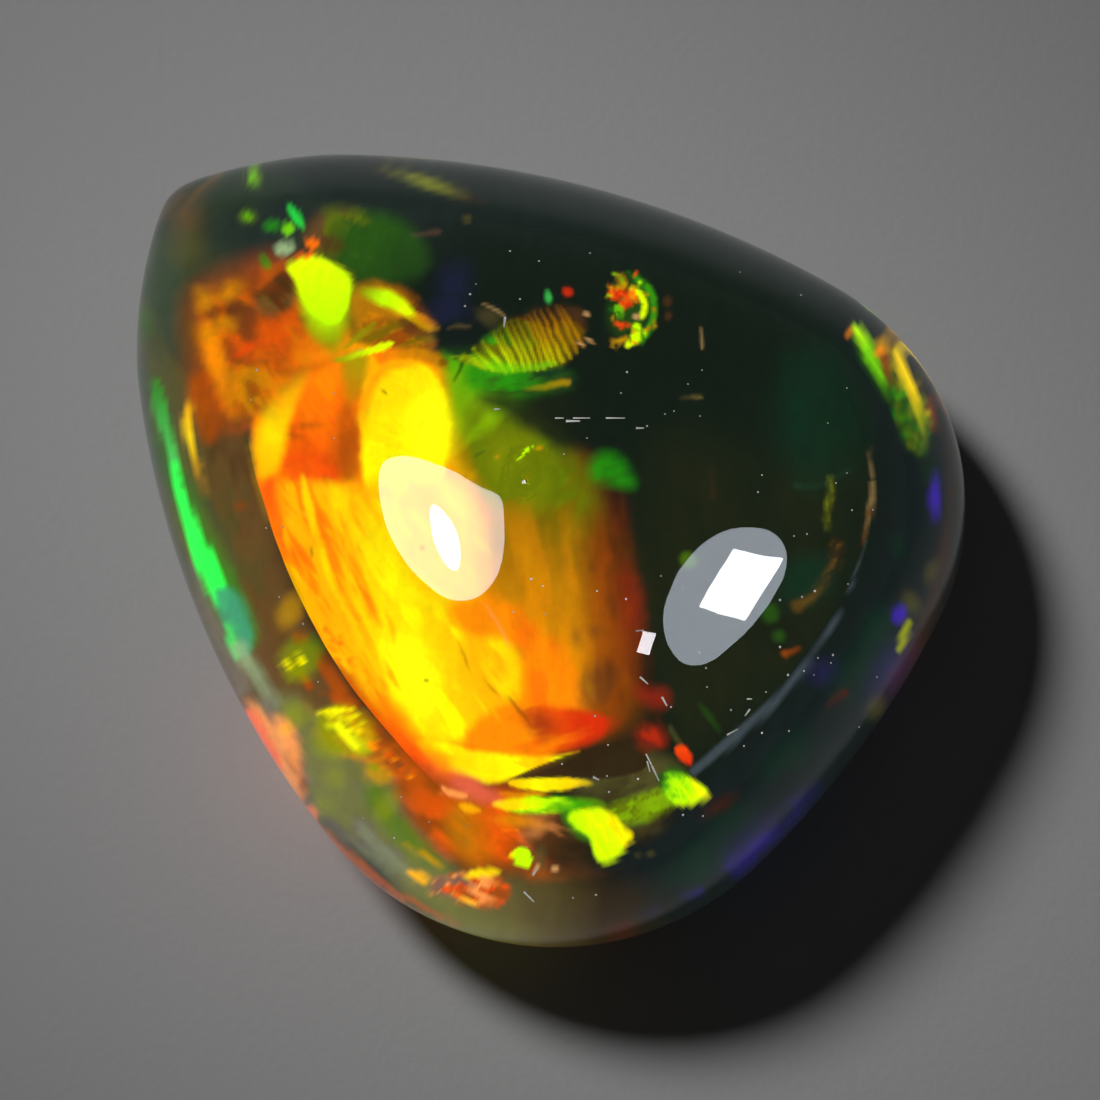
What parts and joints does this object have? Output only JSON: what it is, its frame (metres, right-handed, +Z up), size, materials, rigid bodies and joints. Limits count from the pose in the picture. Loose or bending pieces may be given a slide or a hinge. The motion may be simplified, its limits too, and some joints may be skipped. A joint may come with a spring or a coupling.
{
  "type": "ethiopian opal cabochon",
  "caption": "Loose polished opal cabochon: a rounded-triangle dome over a small flat back, see-through and dark with play of colour.",
  "frame": {"origin": "middle of the stone's bounding box in plan, on the surface the flat back rests on", "axes": "+Z up out of the crown of the dome, +X to the blunt right corner, +Y to the long bowed top side"},
  "size_m": [0.015, 0.0144, 0.007],
  "materials": {
    "opal": "high polish, see-through smoky opal with bright play of colour"
  },
  "bodies": {
    "root": {"cabochon": "opal"}
  },
  "joints": []
}
